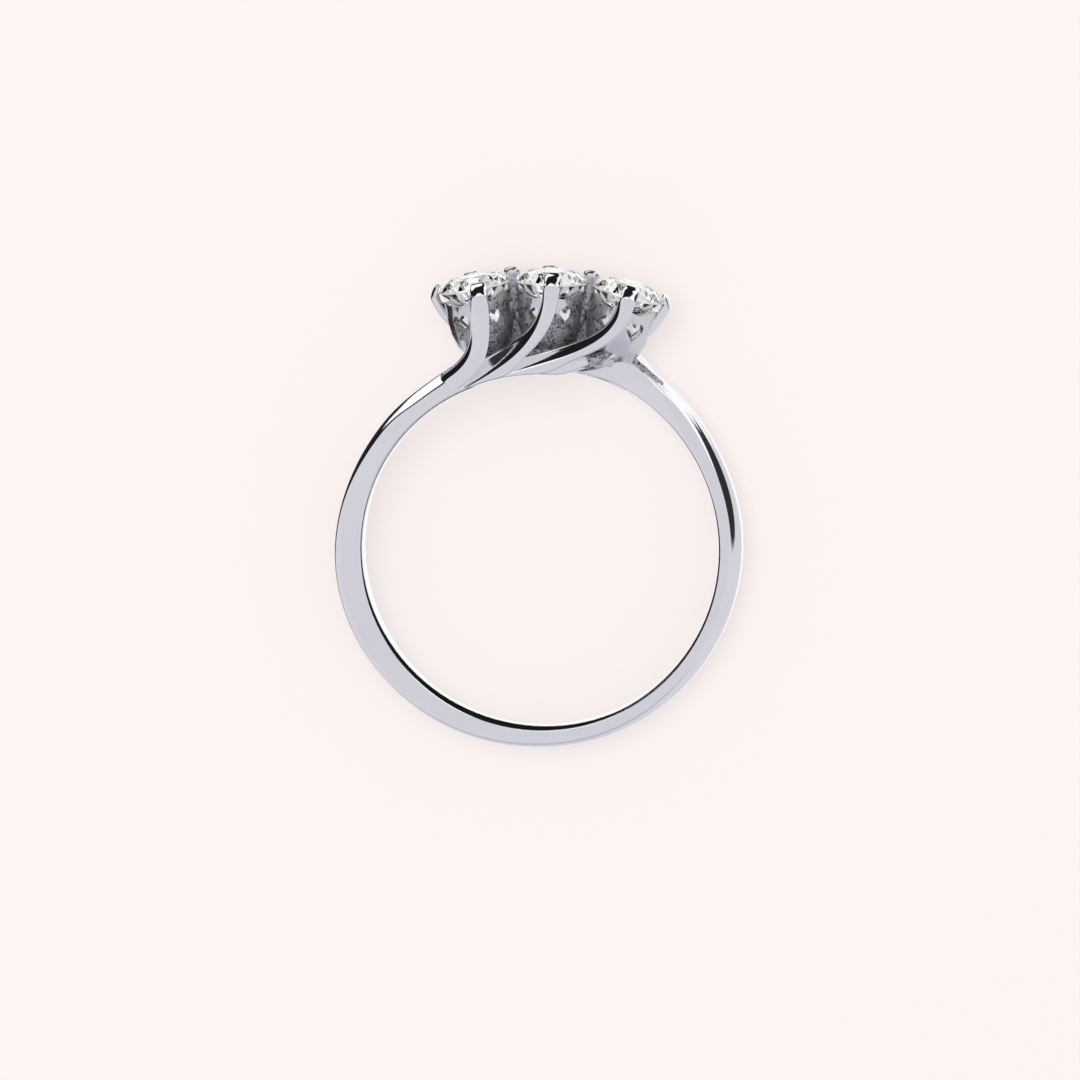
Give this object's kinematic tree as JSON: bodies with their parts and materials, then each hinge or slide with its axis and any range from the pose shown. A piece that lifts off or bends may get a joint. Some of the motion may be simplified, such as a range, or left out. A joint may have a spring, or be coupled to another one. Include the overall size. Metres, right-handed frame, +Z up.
{
  "type": "ring",
  "caption": "Finger ring with round brilliant-cut stones in a row, held by claws that fan out of a crossing shank over cups pierced with hearts, lying on its side",
  "frame": {"origin": "The middle of the finger hole", "axes": "+Z up from the floor the ring lies on, +Y from the finger hole to the stones, +X along the row of stones, to the right as seen from the front"},
  "size_m": [0.0194, 0.023, 0.0045],
  "materials": {
    "metal": "Polished white gold, rhodium plated, darker in the cast recesses",
    "stone": "Clear colourless brilliant"
  },
  "bodies": {
    "root": {"ring_mount": "metal", "stone_left": "stone", "stone_middle": "stone", "stone_right": "stone"}
  },
  "joints": []
}
